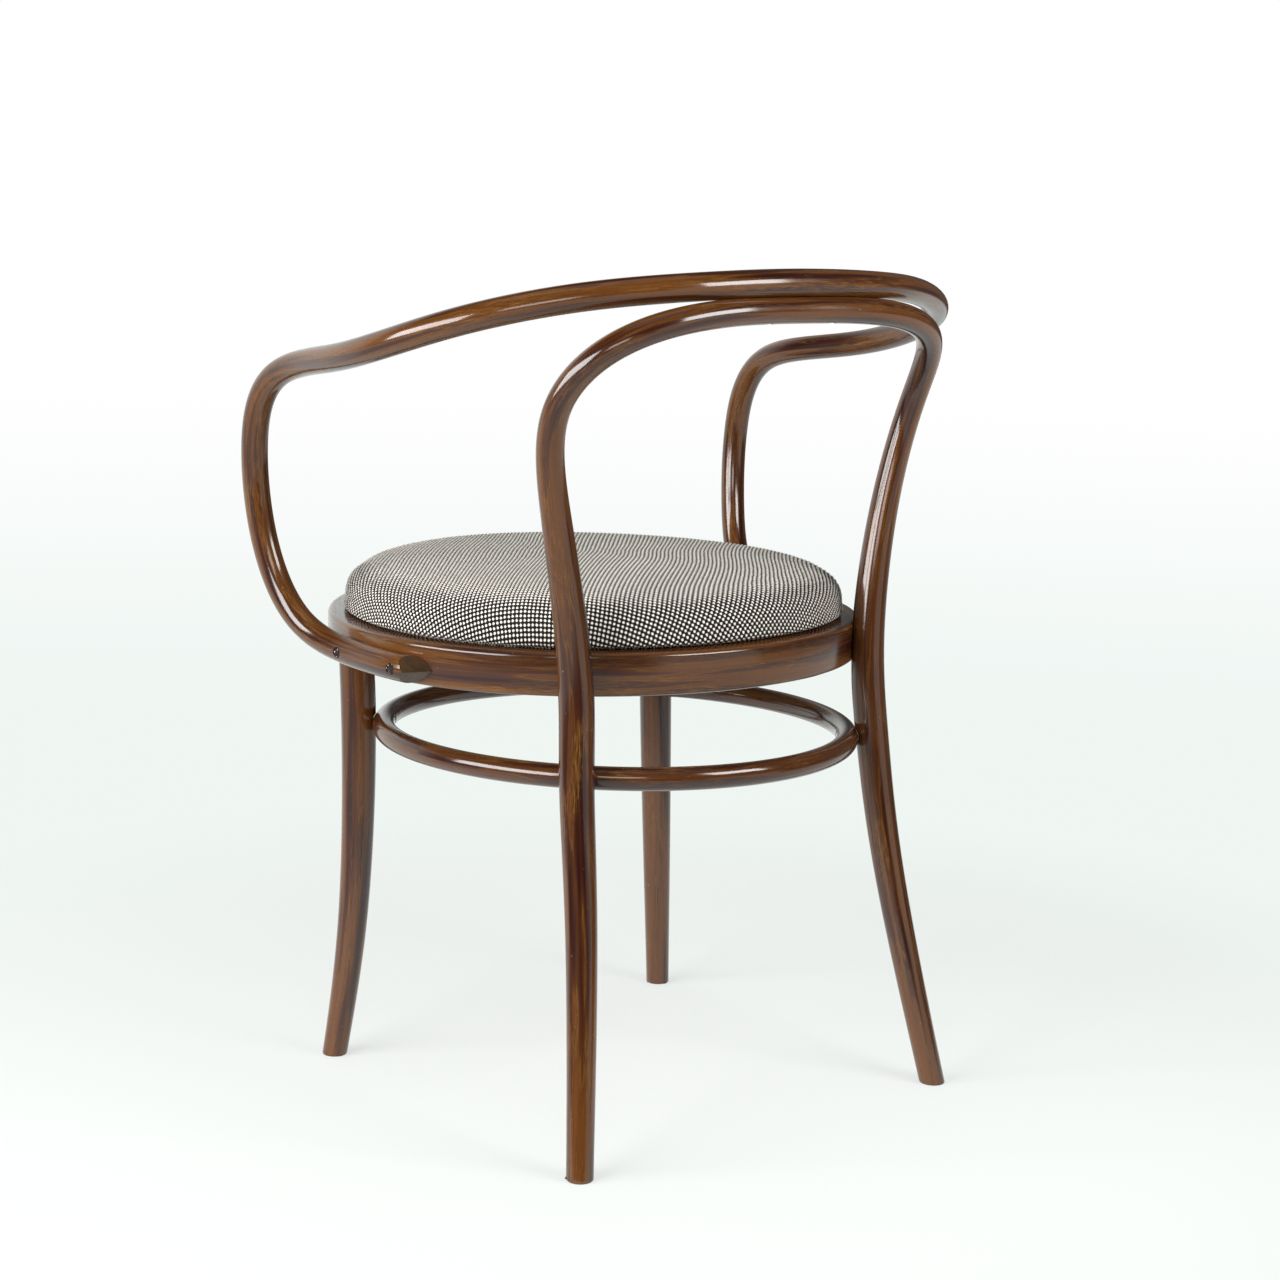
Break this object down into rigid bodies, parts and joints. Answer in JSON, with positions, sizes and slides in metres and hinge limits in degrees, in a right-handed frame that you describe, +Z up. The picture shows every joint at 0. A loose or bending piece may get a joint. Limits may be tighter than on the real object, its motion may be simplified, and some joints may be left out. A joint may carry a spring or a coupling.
{
  "type": "bentwood armchair",
  "caption": "Bentwood dining armchair: bent round rods form the legs, back hoop and continuous arm and back rail, tied by a seat ring and a stretcher ring, with a woven drop-in seat.",
  "frame": {"origin": "centre of the chair's bounding box at floor level", "axes": "+Z up, -Y the way the sitter faces, +X to the sitter's left"},
  "size_m": [0.6038, 0.5192, 0.7306],
  "materials": {
    "stained_beech": "dark brown stain under a worn gloss lacquer",
    "plug_wood": "dark filler, satin",
    "plywood": "bare plywood",
    "seat_foam": "soft open foam",
    "woven_cover": "coarse basket weave of pale and black yarn",
    "screw_steel": "plain steel"
  },
  "bodies": {
    "root": {"arm_back_bow": "stained_beech", "rear_leg_hoop": "stained_beech", "seat_ring": "stained_beech", "stretcher_ring": "stained_beech", "front_leg_left": "stained_beech", "front_leg_right": "stained_beech", "seat_board": "plywood", "seat_foam": "seat_foam", "seat_cover": "woven_cover", "arm_screw_left_1": "screw_steel", "arm_screw_left_2": "screw_steel", "arm_screw_right_1": "screw_steel", "arm_screw_right_2": "screw_steel", "arm_plug_left_1": "plug_wood", "arm_plug_left_2": "plug_wood", "arm_plug_right_1": "plug_wood", "arm_plug_right_2": "plug_wood", "rear_leg_screw_left": "screw_steel", "rear_leg_screw_right": "screw_steel", "rear_leg_washer_left": "screw_steel", "rear_leg_washer_right": "screw_steel", "hoop_screw_left": "screw_steel", "hoop_screw_right": "screw_steel", "stretcher_screw_rear_left": "screw_steel", "stretcher_screw_rear_right": "screw_steel", "stretcher_screw_front_left": "screw_steel", "stretcher_screw_front_right": "screw_steel"}
  },
  "joints": []
}
